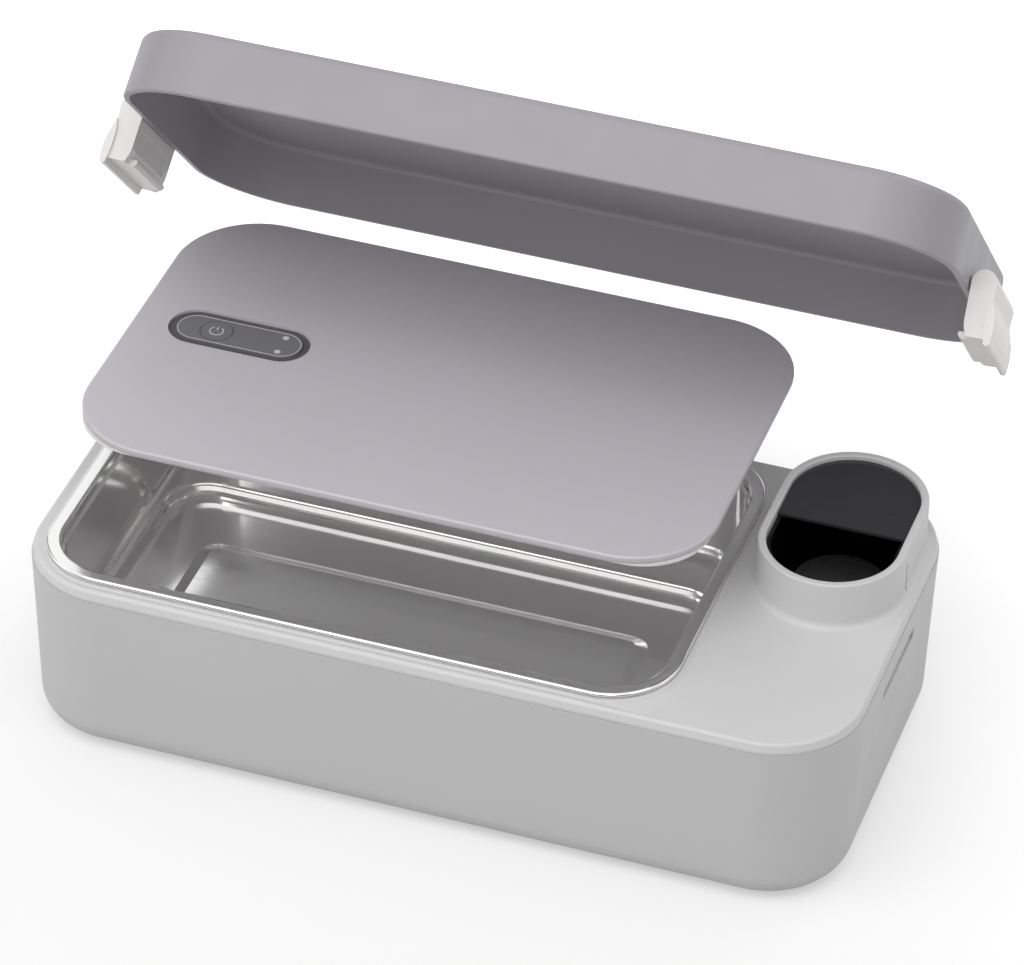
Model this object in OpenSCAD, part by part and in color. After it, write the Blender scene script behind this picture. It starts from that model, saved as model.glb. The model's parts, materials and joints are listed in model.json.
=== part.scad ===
// Electric lunch box, shown taken apart: the case, its steel tray, and two lids held open above it.
// The origin is the centre of the face that the case stands on. X is its length, -Y its front.

/* [Case] */
// Length of the case, left to right
case_l = 260; // [250:1:290]
// Depth of the case, front to back
case_w = 133; // [131:1:150]
// Corner radius of the case and of the outer lid, seen from above
case_r = 28; // [24:1:32]
// Height of the seam between the shell and the deck
seam_z = 57.5; // [55:0.5:70]
// Height of the deck's edge above the seam
band_h = 3.5; // [3:0.5:5]
// Wall of the shell
wall = 2.2; // [1.8:0.1:2.8]
// Radius of the shell's bottom edge
bottom_r = 9; // [6:0.5:12]
// How far the shell's walls lean in at the bottom
draft = 1.6; // [0.8:0.1:2.4]
// Depth of the shadow gap at the seam
seam_gap = 0.3; // [0.2:0.1:0.5]
// Radius of the deck's top edge
deck_edge_r = 1.2; // [0.8:0.1:1.5]
// Thickness of the deck
deck_t = 2.2; // [1.8:0.1:2.6]

/* [Feet] */
// Thickness of the foot pads, which lie flush in the underside
foot_h = 1; // [0.8:0.1:1.4]
// Radius of each pad
foot_r = 6; // [5:0.5:8]
// Radius of the stem that holds a pad in the shell
stem_r = 2; // [1.5:0.1:3]
// Distance of the pads from the case's outer faces
foot_in = 30; // [26:1:34]

/* [Tray] */
// Distance from the case's left face to the tray's rim
tray_margin = 5.5; // [5:0.5:8]
// Distance from the case's front and back faces to the rim
tray_side = 3.5; // [3.2:0.1:6]
// Distance from the rim to the bay's collar
tray_gap = 6.8; // [6:0.1:12]
// Corner radius of the rim
tray_r = 22.3; // [20:0.1:24]
// Sheet thickness of the tray
steel = 0.8; // [0.6:0.1:1]
// Width of the rim
rim_w = 4.5; // [4:0.1:5]
// Height of the rim
rim_h = 1.5; // [1.4:0.1:2.4]
// Height of the deck's raised ring under the rim
hump_h = 1; // [0.8:0.1:1.4]
// Width of that ring's soft outer slope
hump_w = 7; // [5:0.5:8]
// Depth of the shoulder below the rim
shoulder_drop = 4.5; // [3:0.5:6]
// Width of the shoulder
shoulder_w = 0.8; // [0.5:0.1:1.2]
// Distance from the wall to the well, at the short ends
ledge_x = 3.8; // [3.8:0.1:12]
// Distance from the wall to the well, at the long sides
ledge_y = 17.5; // [5:0.5:20]
// Depth of the well below the ledge
well_h = 5.5; // [5:0.5:12]
// Corner radius of the well
well_r = 14; // [10:1:18]
// Distance from the well to the embossed field, at the short ends
emboss_x = 17; // [10:1:24]
// Distance from the well to the embossed field, at the long sides
emboss_y = 22; // [10:1:24]
// Corner radius of the embossed field
emboss_r = 6.5; // [6:0.5:10]
// Height of the embossed field
emboss_h = 1.2; // [0.8:0.1:1.6]
// Width of the field's sloping edge
emboss_slope = 4; // [2.5:0.5:5]

/* [Heater] */
// Height of the ribs that carry the insulation pad
rib_h = 5; // [3:0.5:7]
// Thickness of the insulation pad
pad_t = 10; // [6:0.5:12]
// Thickness of the heater plate
heater_t = 1.4; // [1:0.1:2]
// Sheet thickness of the heating pan
pan_t = 1; // [0.8:0.1:1.2]
// Gap between the pan's wall and the tray's
pan_gap = 0.5; // [0.4:0.1:1]

/* [Bay] */
// Width of the bay's opening
bay_w = 40; // [36:1:42]
// Length of the bay's opening, front to back
bay_l = 63.4; // [56:0.2:66]
// Wall of the bay's collar
collar_wall = 2.4; // [2:0.1:3]
// Height of the collar above the deck
collar_h = 15.9; // [12:0.1:17]
// Distance from the case's right face to the collar
collar_in = 3.9; // [3.9:0.1:5]
// Distance from the case's back face to the collar
collar_back = 5.9; // [5.5:0.1:8]
// Radius of the fillet at the collar's foot
collar_fillet = 2.2; // [1:0.1:2.2]
// Depth of the bay below the rim of the collar
bay_depth = 26.5; // [22:0.5:30]
// Wall of the bay's liner
liner_t = 1.2; // [1:0.1:1.6]
// Share of the bay's length that the smoked window covers
window_share = 0.54; // [0.4:0.01:0.7]
// Radius of the contact plate on the bay's floor
contact_r = 14.5; // [10:0.5:16]

/* [Inner lid] */
// How far the inner lid's plate is longer and wider than the tray's rim
plate_over = 0.4; // [0.2:0.1:0.8]
// Corner radius of the plate
plate_r = 27; // [24:0.5:30]
// Thickness of the plate
plate_t = 2.4; // [2:0.1:3]
// Width of the bevel round the plate's edge
plate_bevel = 0.7; // [0.4:0.1:1]
// Thickness of the gasket under the plate
gasket_t = 1; // [0.8:0.1:1.4]
// Depth of the cover under the plate
pod_h = 5; // [4.5:0.1:5]
// Distance from the plate's edge to that cover
pod_in = 11.5; // [11:0.5:14]
// Length of the panel's recess
panel_l = 45.5; // [42:0.5:50]
// Width of the panel's recess
panel_w = 17.8; // [16:0.2:20]
// Distance from the plate's left edge to the middle of the panel
panel_x = 33.8; // [33.8:0.2:45]
// Distance of the panel behind the plate's middle
panel_y = 2.5; // [0:0.5:6]
// Depth of the panel's recess
panel_drop = 1.2; // [0.8:0.1:1.4]
// Width of the recess round the raised face
panel_ring = 2.5; // [2:0.1:3]
// Radius of the power key
key_r = 5; // [4:0.2:5.4]
// Travel of the power key
key_travel = 0.5; // [0.3:0.1:0.6]

/* [Outer lid] */
// Height of the outer lid
lid_h = 20.3; // [20:0.1:26]
// Wall of the outer lid
lid_wall = 2; // [1.8:0.1:2.4]
// Radius of the outer lid's top edge
lid_edge_r = 3; // [2:0.5:4]
// How far the lid's walls lean in at the top
lid_draft = 1; // [0.5:0.1:1.5]

/* [Latches] */
// Width of a latch
latch_w = 40; // [34:1:46]
// Distance of the latch's axis from the lid's end face
axis_out = 4.4; // [4.3:0.1:5]
// Height of the latch's axis above the lid's rim
axis_up = 3; // [2.5:0.1:4]
// Radius of the latch's barrel
barrel_r = 3.9; // [3.7:0.1:4.1]
// Radius of the latch pin
pin_r = 1.1; // [0.9:0.1:1.2]
// Length of the latch below the lid's rim
latch_h = 15.8; // [15.4:0.1:18]
// Distance from the lid's rim down to the top of the hook
hook_z = 11.8; // [11:0.1:12.4]
// Reach of the hook into the keep groove
hook_reach = 1.2; // [0.8:0.1:1.3]
// Height of the hook
hook_h = 2; // [1.8:0.1:2.2]
// How far the latches stand open
latch_open = 3; // [3:1:20]

/* [Shown open] */
// How far the inner lid stands back from its seat
lift_y = 28; // [20:1:34]
// How far the inner lid stands above its seat
lift_z = 26; // [24:1:60]
// Place of the outer lid's rim, behind the case's middle
hover_y = 65.3; // [60:0.1:90]
// Height of the outer lid's rim, in the middle
hover_z = 135.6; // [130:0.1:170]
// Tilt of the outer lid
tilt = 47.2; // [40:0.1:60]

/* [Hidden] */
$fn = 64;

// Colours of the finishes
pale_grey = [0.74, 0.74, 0.75];
deck_grey = [0.78, 0.78, 0.79];
mauve = [0.60, 0.58, 0.62];
white = [0.90, 0.89, 0.87];
steel_grey = [0.80, 0.80, 0.81];
alu_grey = [0.70, 0.70, 0.71];
dark = [0.06, 0.06, 0.07];
smoke = [0.22, 0.22, 0.23];
panel_grey = [0.42, 0.41, 0.43];
board_green = [0.05, 0.30, 0.15];

// Clearances
air = 0.2;
snug = 0.05;
seat = 0.3;
// Thickness that joins two solids of one piece
bite = 0.5;
// Extra length of a cutting solid
over = 1;
// Steps in a quarter round of a swept outline
arc_steps = 8;

// Levels of the case
deck_z = seam_z + band_h;
shell_floor = wall;
touch = 0.1;
pad_z = shell_floor + rib_h + touch;
heater_z = pad_z + pad_t + touch;
pan_z = heater_z + heater_t + touch;
tray_z = pan_z + pan_t + seat;
rim_z = deck_z + hump_h + air;
tray_top = rim_z + rim_h;
ledge_z = tray_z + steel + well_h;

// Plan of the tray, which fills the case beside the bay's collar
collar_w = bay_w + 2 * collar_wall;
collar_l = bay_l + 2 * collar_wall;
tray_l = case_l - tray_margin - tray_gap - collar_w - collar_in;
tray_w = case_w - 2 * tray_side;
tray_x = -case_l / 2 + tray_margin + tray_l / 2;
body_l = tray_l - 2 * rim_w;
body_w = tray_w - 2 * rim_w;
body_r = tray_r - rim_w;
lower_l = body_l - 2 * shoulder_w;
lower_w = body_w - 2 * shoulder_w;
lower_r = body_r - shoulder_w;
well_l = lower_l - 2 * ledge_x;
well_w = lower_w - 2 * ledge_y;
wall_fillet = 5;
foot_fillet = 1.5;
fillet_w = wall_fillet - (wall_fillet - foot_fillet) * cos(45);
bead_r = 1.2;
well_fillet = 2.5;
emboss_l = well_l - 2 * emboss_x;
emboss_w = well_w - 2 * emboss_y;
heater_l = well_l - 14;
heater_w = well_w - 6;

// Plan of the pan
pan_in = rim_w - steel - pan_gap;
pan_l = tray_l - 2 * pan_in;
pan_w = tray_w - 2 * pan_in;
pan_r = tray_r - pan_in;
flange = 2.4;

// Plan of the bay
bay_x = case_l / 2 - collar_in - collar_w / 2;
bay_y = case_w / 2 - collar_back - collar_l / 2;
collar_top = deck_z + collar_h;
bay_floor = collar_top - bay_depth;
liner_drop = 2.6;
window_drop = 1.5;
window_t = 1;
window_y = bay_y + bay_l / 2 - bay_l * window_share;
slit = [1.5, 1, 10];
slit_y = bay_y - 9;

// Levels and plan of the inner lid, in its seat
plate_l = tray_l + 2 * plate_over;
plate_w = tray_w + 2 * plate_over;
plate_z = tray_top + gasket_t;
pod_l = plate_l - 2 * pod_in;
pod_w = plate_w - 2 * pod_in;
pod_r = plate_r - pod_in;
pod_wall = 1.2;
panel_cx = tray_x - plate_l / 2 + panel_x;
face_l = panel_l - 2 * panel_ring;
face_w = panel_w - 2 * panel_ring;
face_t = 1;
key_gap = 0.2;
panel_floor = plate_z + plate_t - panel_drop;
key_dx = face_w - face_l / 2;
light_dx = (face_l - face_w) / 2;
light_dy = 3.8;
light_r = 1;
light_lead_r = 0.5;
pod_floor = plate_z - pod_h - snug + pod_wall;
lid_board_z = pod_floor + 0.5;
lid_board_l = 50;
lid_board_w = 24;
lid_board_x = tray_x - pod_l / 2 + pod_wall + 1 + lid_board_l / 2;
board_t = 1.2;
stem_end = panel_floor - 2.1;
cell_r = 10;
cell_t = 2;
gasket_w = 2.6;

// Levels of the outer lid, in its seat
lid_z = deck_z + air;
lid_top_t = 2;
rim_chamfer = 0.4;

// Latch and its keep
lug_w = 4;
lug_y = latch_w / 2 - 5;
lug_r = 2.3;
lug_t = 3;
lug_slot = 0.25;
latch_end = 0.8;
groove_h = hook_h + 1.8;
groove_z = lid_z - hook_z + seat - groove_h / 2;
groove_deep = hook_reach + 0.5;
hook_in = 4.5;
groove_l = latch_w - 2 * hook_in + 2;
keep_t = 1.8;

// The outer lid's wall stands outside the raised ring, which is this much wider than the rim
lip_w = min(tray_side, tray_margin) - lid_wall - 2 * air;

// Room beside the pan, for the cells and the board
bay_room_x = tray_x + pan_l / 2 + flange + 1;

// Fastenings. The bosses stand beside the pan, and hooks hold the other end of the deck
boss_r = 4;
boss_in = 19;
deck_boss_h = 24;
boss_top = deck_z - deck_t - deck_boss_h - air;
screw_r = 1.5;
screw_bite = 10;
head_r = 2.7;
head_h = 1.8;
head_in = 1.2;
back_boss_in = 16.5;
boss_spots = [
    [case_l / 2 - boss_in, -case_w / 2 + boss_in],
    [bay_room_x + boss_r + 1.5, case_w / 2 - back_boss_in]
];
hook_w = 10;
hook_drop = 4.5;
hook_lip = 0.6;
hook_t = 1.2;
hook_spots = [
    [-case_l / 2, 0, 180],
    for (x = [-case_l / 3, 0], s = [-1, 1]) [x, s * case_w / 2, 90 * s]
];

// Battery and board, under the bay
cell18_r = 9.2;
cell18_l = 65;
cell_gap = 1;
holder_t = 1.2;
holder_w = 4 * cell18_r + cell_gap + 2 * holder_t + 1;
holder_l = cell18_l + 2 * holder_t + 0.6;
holder_z = shell_floor + touch;
cell_z = holder_z + holder_t + cell18_r;
pack_x = bay_room_x + holder_w / 2;
pack_y = case_w / 2 - back_boss_in - boss_r - 2.3 - holder_l / 2;

// The board fills the floor between the pack and the case's front
board_l = 28;
board_front = 10.2;
board_gap = 2;
board_x = bay_room_x + board_gap + board_l / 2;
board_w = pack_y - holder_l / 2 - board_gap + case_w / 2 - board_front;
board_y = -case_w / 2 + board_front + board_w / 2;
board_lift = 6;
board_z = shell_floor + board_lift;
pcb_t = 1.6;
post_r = 2.2;
post_in = 4;
post_screw_r = 1;
capacitor_r = 2.2;
capacitor_h = 8;

// Points of an arc in a section, from angle a to angle b
function arc(cx, cz, r, a, b, n = arc_steps) =
    [for (i = [0 : n]) [cx + r * cos(a + (b - a) * i / n), cz + r * sin(a + (b - a) * i / n)]];

// Rounded rectangle with true arcs at its corners
module round_rect(l, w, r) {
    square([l - 2 * r, w], center = true);
    square([l, w - 2 * r], center = true);
    for (x = [-1, 1], y = [-1, 1])
        translate([x * (l / 2 - r), y * (w / 2 - r)])
            circle(r);
}

module slab(l, w, r, z0, z1) {
    translate([0, 0, z0])
        linear_extrude(z1 - z0)
            round_rect(l, w, r);
}

// Outline with two straight long sides and half-round ends, along Y
module stadium_y(w, l) {
    square([w, l - w], center = true);
    for (y = [-1, 1])
        translate([0, y * (l - w) / 2])
            circle(w / 2);
}

// The same outline along X
module stadium_x(l, w) {
    rotate(90)
        stadium_y(w, l);
}

// Sweeps a section round a rounded rectangle. The section's x is 0 on the outline and grows outwards
module sweep(l, w, r) {
    sx = l / 2 - r;
    sy = w / 2 - r;
    for (c = [[1, 1, 0], [-1, 1, 90], [-1, -1, 180], [1, -1, 270]])
        translate([c[0] * sx, c[1] * sy, 0])
            rotate(c[2])
                rotate_extrude(angle = 90)
                    translate([r, 0])
                        children();
    for (s = [0, 1]) {
        if (sy > 0)
            rotate(180 * s)
                translate([l / 2, sy, 0])
                    rotate([90, 0, 0])
                        linear_extrude(2 * sy)
                            children();
        if (sx > 0)
            rotate(180 * s)
                translate([-sx, w / 2, 0])
                    rotate([90, 0, 90])
                        linear_extrude(2 * sx)
                            children();
    }
}

// Places of the lids as shown
module shown_inner_lid() {
    translate([0, lift_y, lift_z])
        children();
}

// The outer lid is drawn with its rim's centre at the origin
module shown_outer_lid() {
    translate([0, hover_y, hover_z])
        rotate([-tilt, 0, 0])
            children();
}

module at_bosses() {
    for (spot = boss_spots)
        translate([spot[0], spot[1], 0])
            children();
}

// Each hook's own frame: x grows outwards from the case's face
module at_hooks() {
    for (spot = hook_spots)
        translate([spot[0], spot[1], 0])
            rotate(spot[2])
                children();
}

module at_posts() {
    for (x = [-1, 1], y = [-1, 1])
        translate([board_x + x * (board_l / 2 - post_in), board_y + y * (board_w / 2 - post_in), 0])
            children();
}

module at_feet() {
    for (x = [-1, 1], y = [-1, 1])
        translate([x * (case_l / 2 - foot_in), y * (case_w / 2 - foot_in), 0])
            children();
}

// Section of the shell's wall, from the floor's edge up to the seam
module shell_section() {
    lean = draft;
    ri = bottom_r - wall;
    zc = bottom_r;
    outer = concat([[0, seam_z]], arc(-lean - bottom_r, zc, bottom_r, 0, -90));
    inner = concat(arc(-lean - bottom_r, zc, ri, -90, 0), [[-wall, seam_z]]);
    polygon(concat(outer, inner));
}

// What stands on the floor: the screw bosses, the board's posts and the pad's ribs
module shell_floor_parts() {
    z = shell_floor - bite;
    at_bosses()
        translate([0, 0, z])
            cylinder(r = boss_r, h = boss_top - z);
    at_posts()
        translate([0, 0, z])
            cylinder(r = post_r, h = board_z - touch - z);
    for (y = [-1, 0, 1])
        translate([tray_x, y * (heater_w / 2 - 8), z + (rib_h + bite) / 2])
            cube([heater_l - 20, 1.6, rib_h + bite], center = true);
}

module hook_pockets() {
    at_hooks()
        translate([-wall - over, -hook_w / 2 - seat, seam_z - hook_drop - seat])
            cube([over + hook_lip + seat, hook_w + 2 * seat, hook_t + 2 * seat]);
}

module keep_block() {
    for (s = [-1, 1])
        translate([s * (case_l / 2 - wall - keep_t / 2 + bite / 2), 0, groove_z])
            cube([keep_t + bite, groove_l + 4, groove_h + 4], center = true);
}

module base_shell() {
    in = draft + bottom_r;
    color(pale_grey)
        difference() {
            union() {
                sweep(case_l, case_w, case_r)
                    shell_section();
                slab(case_l - 2 * in, case_w - 2 * in, case_r - in, 0, wall);
                shell_floor_parts();
                keep_block();
            }
            hook_pockets();
            for (s = [-1, 1])
                translate([s * (case_l / 2 - groove_deep / 2 + over / 2), 0, groove_z])
                    cube([groove_deep + over, groove_l, groove_h], center = true);
            at_bosses()
                translate([0, 0, -over]) {
                    cylinder(r = screw_r + snug, h = deck_z);
                    cylinder(r = head_r + air, h = over + head_in + head_h + touch);
                }
            at_posts()
                translate([0, 0, shell_floor + touch])
                    cylinder(r = post_screw_r + snug, h = board_z);
            at_feet()
                translate([0, 0, -over]) {
                    cylinder(r = foot_r + snug, h = over + foot_h + snug);
                    cylinder(r = stem_r + snug, h = shell_floor + 2 * over);
                }
        }
}

// Section of the deck's edge: a band above the seam that leans in to a round top
module deck_edge_section() {
    band_t = 2.4;
    lean = 0.4;
    outer = arc(-seam_gap - lean - deck_edge_r, deck_z - deck_edge_r, deck_edge_r, 0, 90, 4);
    polygon(concat(
        [[-seam_gap, seam_z + seam_gap / 2], [-seam_gap, seam_z + 1]], outer,
        [[-seam_gap - band_t - bite, deck_z], [-seam_gap - band_t - bite, deck_z - deck_t],
         [-seam_gap - band_t, deck_z - deck_t], [-seam_gap - band_t, seam_z + seam_gap / 2]]
    ));
}

// A tongue under the deck's edge stands inside the shell's wall
module deck_tongue_section() {
    polygon([
        [-wall - air - 1.2, deck_z - deck_t + bite], [-wall - air, deck_z - deck_t + bite],
        [-wall - air, seam_z - 1.5], [-wall - air - 1.2, seam_z - 1.5]
    ]);
}

// Section of the raised ring that carries the tray's rim; its outer edge centres the outer lid
module ring_section() {
    top = deck_z + hump_h;
    polygon([
        [-pan_in, deck_z - bite], [-pan_in, top], [lip_w - 0.3, top], [lip_w, top - 0.3],
        [lip_w, deck_z - bite]
    ]);
}

// Section of the soft slope that runs from the ring towards the bay
module slope_section() {
    h = hump_h - 0.4;
    run = hump_w - lip_w;
    polygon([
        [lip_w - bite, deck_z - bite], [lip_w - bite, deck_z + h], [lip_w + run * 0.15, deck_z + h],
        [lip_w + run * 0.6, deck_z + h * 0.35], [hump_w, deck_z + 0.02], [hump_w, deck_z - bite]
    ]);
}

module raised_ring() {
    straight = tray_w / 2 - tray_r;
    translate([tray_x, 0, 0])
        sweep(tray_l, tray_w, tray_r)
            ring_section();
    translate([tray_x + tray_l / 2 - tray_r, 0, 0]) {
        for (s = [-1, 1])
            translate([0, s * straight, 0])
                difference() {
                    rotate(s > 0 ? 0 : -90)
                        rotate_extrude(angle = 90)
                            translate([tray_r, 0])
                                slope_section();
                    translate([0, s * (tray_r + lip_w + air + hump_w), deck_z])
                        cube([2 * tray_l, 2 * hump_w, 4 * hump_h], center = true);
                }
        translate([tray_r, straight, 0])
            rotate([90, 0, 0])
                linear_extrude(2 * straight)
                    slope_section();
    }
}

module deck_hooks() {
    back = -wall - 2 * air;
    at_hooks() {
        translate([back - hook_t, -hook_w / 2, seam_z - hook_drop])
            cube([hook_t, hook_w, hook_drop + bite]);
        translate([back - bite, -hook_w / 2, seam_z - hook_drop])
            cube([bite + 2 * air + hook_lip, hook_w, hook_t]);
    }
}

// Section of the collar, with its lip and the fillet at its foot
module collar_section() {
    lip = 0.6;
    polygon(concat(
        [[-collar_wall, deck_z - deck_t]],
        arc(-collar_wall + lip, collar_top - lip, lip, 180, 90, 4),
        arc(-lip, collar_top - lip, lip, 90, 0, 4),
        arc(collar_fillet, deck_z + collar_fillet, collar_fillet, 180, 270, 5),
        [[collar_fillet, deck_z - bite], [0, deck_z - deck_t]]
    ));
}

module deck_cover() {
    edge = seam_gap + 2.4;
    plate_z0 = deck_z - deck_t;
    color(deck_grey)
        difference() {
            union() {
                sweep(case_l, case_w, case_r)
                    deck_edge_section();
                sweep(case_l, case_w, case_r)
                    deck_tongue_section();
                difference() {
                    slab(case_l - 2 * edge, case_w - 2 * edge, case_r - edge, plate_z0, deck_z);
                    translate([bay_x, bay_y, plate_z0 - over])
                        linear_extrude(deck_t + 2 * over)
                            stadium_y(bay_w, bay_l);
                }
                raised_ring();
                deck_hooks();
                at_bosses()
                    translate([0, 0, boss_top + air])
                        cylinder(r = boss_r, h = deck_boss_h + bite);
                translate([bay_x, bay_y, 0])
                    sweep(collar_w, collar_l, collar_w / 2)
                        collar_section();
            }
            translate([tray_x, 0, 0])
                slab(pan_l, pan_w, pan_r, plate_z0 - over, deck_z + hump_h + over);
            translate([tray_x, 0, 0])
                seal_ring(air / 2);
            translate([bay_x + collar_w / 2 - slit[0] / 2 + over / 2, slit_y, deck_z + 1 + slit[2] / 2])
                cube([slit[0] + over, slit[1], slit[2]], center = true);
            at_bosses()
                cylinder(r = screw_r + snug, h = boss_top + screw_bite + 1);
        }
}

// A screw with its head below: the head's foot at z0, the shank's end at z1
module screw(r, head, h, z0, z1) {
    translate([0, 0, z0])
        difference() {
            cylinder(r = head, h = h);
            translate([0, 0, -over])
                cylinder(r = head * 0.45, h = over + h * 0.5, $fn = 6);
        }
    translate([0, 0, z0 + h - touch])
        cylinder(r = r, h = z1 - z0 - h + touch);
}

// Screws come up through the shell's bosses into the deck's
module deck_screws() {
    color(steel_grey)
        at_bosses()
            screw(screw_r, head_r, head_h, head_in, boss_top + screw_bite);
}

module foot_pads() {
    color(dark)
        at_feet() {
            cylinder(r = foot_r, h = foot_h);
            cylinder(r = stem_r, h = shell_floor);
        }
}

// Section of the pan: a flange under the deck, a wall and a round bottom edge
module pan_section() {
    top = deck_z - deck_t - air;
    r = wall_fillet + pan_t;
    z = pan_z + r;
    polygon(concat(
        [[flange, top], [flange, top - pan_t], [pan_t, top - pan_t]],
        arc(pan_t - r, z, r, 0, -90, 6),
        arc(pan_t - r, z, r - pan_t, -90, 0, 6),
        [[0, top]]
    ));
}

module heating_pan() {
    in = wall_fillet;
    color(alu_grey)
        translate([tray_x, 0, 0]) {
            sweep(pan_l, pan_w, pan_r)
                pan_section();
            slab(pan_l - 2 * in, pan_w - 2 * in, pan_r - in, pan_z, pan_z + pan_t);
        }
}

// Silicone ring in the deck's raised ring, under the tray's rim
module seal_ring(grow = 0) {
    sweep(tray_l, tray_w, tray_r)
        translate([-1.6 - grow, deck_z - 0.4 - grow])
            square([1.4 + 2 * grow, hump_h + 0.5 + grow + (grow > 0 ? over : 0)]);
}

module tray_seal() {
    color(white)
        translate([tray_x, 0, 0])
            seal_ring();
}

// The heater is held flat under the pan's floor
module heater_plate() {
    color(smoke)
        translate([tray_x, 0, 0])
            difference() {
                slab(heater_l, heater_w, 8, heater_z, heater_z + heater_t);
                for (x = [-1, 1])
                    translate([x * 36, 0, heater_z - over])
                        cylinder(r = 3, h = heater_t + 2 * over);
            }
}

module insulation_pad() {
    window = [44, 18];
    color(white)
        translate([tray_x, 0, 0])
            difference() {
                slab(heater_l + 4, heater_w + 4, 10, pad_z, pad_z + pad_t);
                translate([-window[0] / 2, -window[1] / 2, pad_z + pad_t / 2])
                    cube([window[0], window[1], pad_t]);
            }
}

// Thermostat and fuse are held against the heater, in the pad's pocket
module thermostat() {
    body_h = 3;
    color(alu_grey)
        translate([tray_x - 9, 0, heater_z - touch]) {
            translate([0, 0, -body_h])
                cylinder(r = 6, h = body_h);
            for (y = [-1, 1])
                translate([-1, y * 3 - 0.4, -body_h - 1.2])
                    cube([2, 0.8, 1.3]);
        }
}

module thermal_fuse() {
    fuse_r = 1.2;
    color(white)
        translate([tray_x + 4, 0, heater_z - touch - fuse_r])
            rotate([0, 90, 0]) {
                cylinder(r = fuse_r, h = 12);
                translate([0, 0, -2])
                    cylinder(r = 0.4, h = 16);
            }
}

// Black cup that lines the bay
module bay_liner() {
    top = collar_top - liner_drop;
    w = bay_w - 2 * air;
    l = bay_l - 2 * air;
    color(dark)
        translate([bay_x, bay_y, 0])
            difference() {
                translate([0, 0, bay_floor - liner_t])
                    linear_extrude(top - bay_floor + liner_t)
                        stadium_y(w, l);
                translate([0, 0, bay_floor])
                    linear_extrude(bay_depth)
                        stadium_y(w - 2 * liner_t, l - 2 * liner_t);
            }
}

// Smoked plate over the back of the bay, on the liner's edge
module bay_window() {
    z = collar_top - window_drop - window_t;
    color(smoke)
        intersection() {
            translate([bay_x, bay_y, z])
                linear_extrude(window_t)
                    stadium_y(bay_w - 2 * air, bay_l - 2 * air);
            translate([bay_x - bay_w, window_y, z - over])
                cube([2 * bay_w, bay_l, window_t + 2 * over]);
        }
}

module bay_contact() {
    color(smoke)
        translate([bay_x, bay_y, bay_floor + seat / 3]) {
            difference() {
                cylinder(r = contact_r, h = 1.2);
                translate([0, 0, 0.8])
                    cylinder(r = contact_r - 2, h = over);
            }
            for (a = [0 : 90 : 270])
                rotate(a)
                    translate([contact_r * 0.45, 0, 0.4])
                        cylinder(r = 1.6, h = 0.8);
        }
}

// Centres of the cells across the pack
function cell_xs() = [for (s = [-1, 1]) pack_x + s * (cell18_r + cell_gap / 2)];
module battery_cells() {
    color([0.20, 0.35, 0.55])
        for (x = cell_xs())
            translate([x, pack_y - cell18_l / 2, cell_z])
                rotate([-90, 0, 0]) {
                    cylinder(r = cell18_r, h = cell18_l - 1);
                    cylinder(r = 3, h = cell18_l);
                }
}

module battery_holder() {
    color(dark)
        translate([pack_x, pack_y, 0])
            difference() {
                translate([-holder_w / 2, -holder_l / 2, holder_z])
                    cube([holder_w, holder_l, cell18_r + holder_t]);
                translate([-holder_w / 2 + holder_t, -holder_l / 2 + holder_t, holder_z + holder_t - 0.1])
                    cube([holder_w - 2 * holder_t, holder_l - 2 * holder_t, 2 * cell18_r]);
            }
}

// Two bands hold the cells down in the holder
module battery_straps() {
    band = 0.6;
    strap_w = 8;
    color(smoke)
        for (y = [-1, 1])
            translate([pack_x, pack_y + y * cell18_l / 4, 0])
                difference() {
                    translate([-holder_w / 2 - band - touch, -strap_w / 2, holder_z + holder_t])
                        cube([holder_w + 2 * (band + touch), strap_w, 2 * cell18_r + band + touch]);
                    translate([-holder_w / 2 - touch, -strap_w / 2 - over, holder_z])
                        cube([holder_w + 2 * touch, strap_w + 2 * over, 2 * cell18_r + holder_t + touch]);
                }
}

module board_screws() {
    color(steel_grey)
        at_posts() {
            translate([0, 0, board_z + pcb_t + touch])
                cylinder(r = 1.9, h = 1.2);
            translate([0, 0, shell_floor + 1])
                cylinder(r = post_screw_r, h = board_z + pcb_t + 0.5 - shell_floor);
        }
}

module power_board() {
    color(board_green)
        difference() {
            translate([board_x - board_l / 2, board_y - board_w / 2, board_z])
                cube([board_l, board_w, pcb_t]);
            at_posts()
                translate([0, 0, board_z - over])
                    cylinder(r = post_screw_r + air, h = pcb_t + 2 * over);
        }
    clear_x = board_l / 2 - 2 * post_in + seat;
    color(smoke)
        translate([board_x, board_y, board_z + pcb_t - touch]) {
            translate([-clear_x, -board_w * 0.1, 0])
                cube([clear_x, board_w * 0.3, 1.3]);
            translate([clear_x * 0.4, board_w * 0.05, 0])
                cube([clear_x * 0.6, board_w * 0.2, 2.5]);
            for (x = [-1, 0, 1])
                translate([x * (clear_x - capacitor_r), -board_w / 2 + 1.5 * post_in, 0])
                    cylinder(r = capacitor_r, h = capacitor_h);
        }
}

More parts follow.
